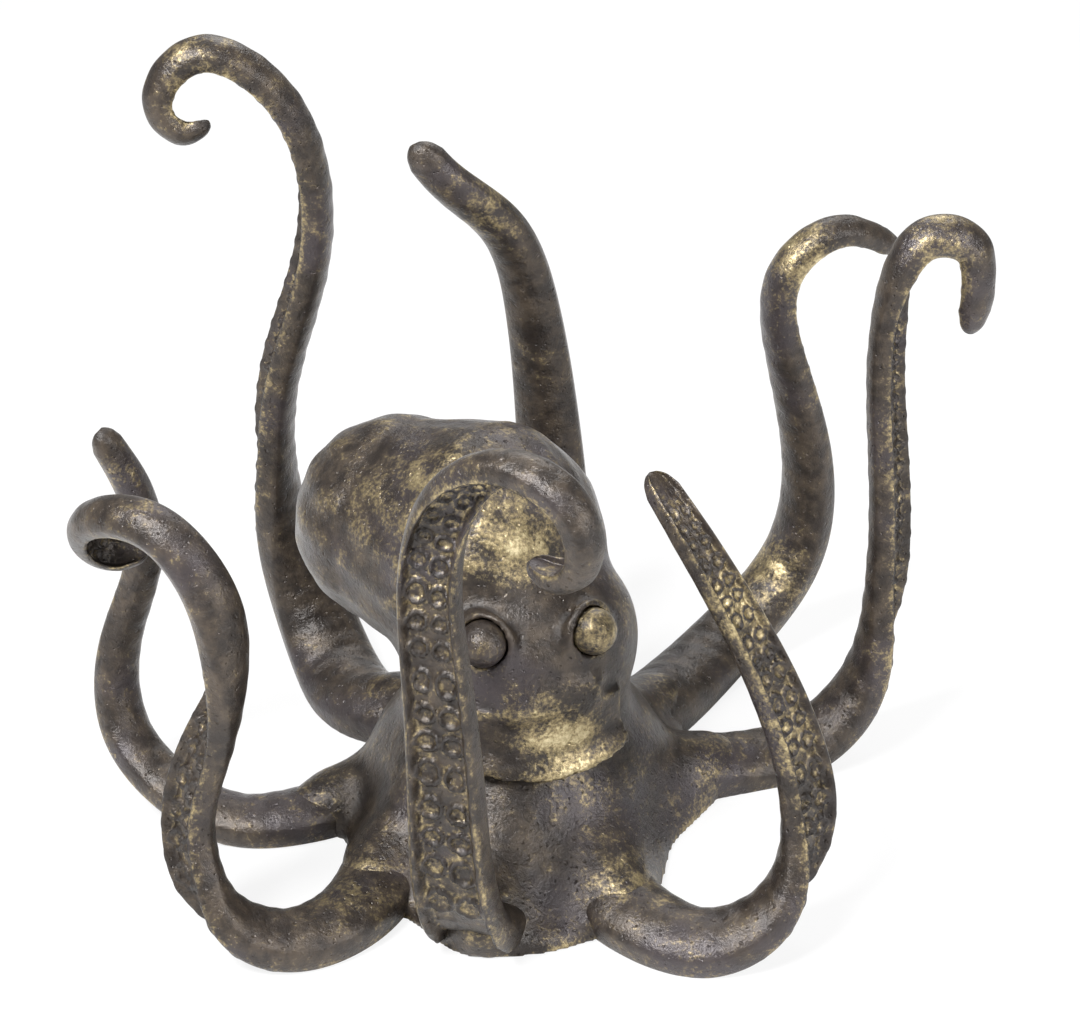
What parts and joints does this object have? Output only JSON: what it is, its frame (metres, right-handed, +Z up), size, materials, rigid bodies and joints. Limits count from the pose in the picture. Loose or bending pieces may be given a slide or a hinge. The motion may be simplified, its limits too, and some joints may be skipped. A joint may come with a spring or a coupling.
{
  "type": "octopus figurine",
  "caption": "Cast metal octopus ornament that stands on its curling, suckered arms, with raised arm tips that curl into hooks.",
  "frame": {"origin": "middle of the figure's box, on the table that it stands on", "axes": "+X to the figure's widest side, which is the viewer's right, +Y away from the viewer who faces its eyes, +Z up"},
  "size_m": [0.3006, 0.2354, 0.2468],
  "materials": {
    "bronze_finish": "antique bronze patina, satin",
    "gold_rub": "antique bronze patina rubbed to gold, satin",
    "steel": "brushed"
  },
  "bodies": {
    "root": {"front_arm": "bronze_finish", "front_arm_suckers": "bronze_finish", "front_right_arm": "bronze_finish", "front_right_arm_suckers": "bronze_finish", "right_arm": "bronze_finish", "right_arm_suckers": "bronze_finish", "back_right_arm": "bronze_finish", "back_right_arm_suckers": "bronze_finish", "back_arm": "bronze_finish", "back_arm_suckers": "bronze_finish", "back_left_arm": "bronze_finish", "back_left_arm_suckers": "bronze_finish", "left_arm": "bronze_finish", "left_arm_suckers": "bronze_finish", "front_left_arm": "bronze_finish", "front_left_arm_suckers": "bronze_finish", "hub": "bronze_finish", "head": "bronze_finish", "mantle": "bronze_finish", "collar": "gold_rub", "right_eye": "bronze_finish", "left_eye": "bronze_finish", "arm_dowels": "steel", "mantle_dowel": "steel", "neck_bolt": "steel", "neck_washer": "steel"}
  },
  "joints": []
}
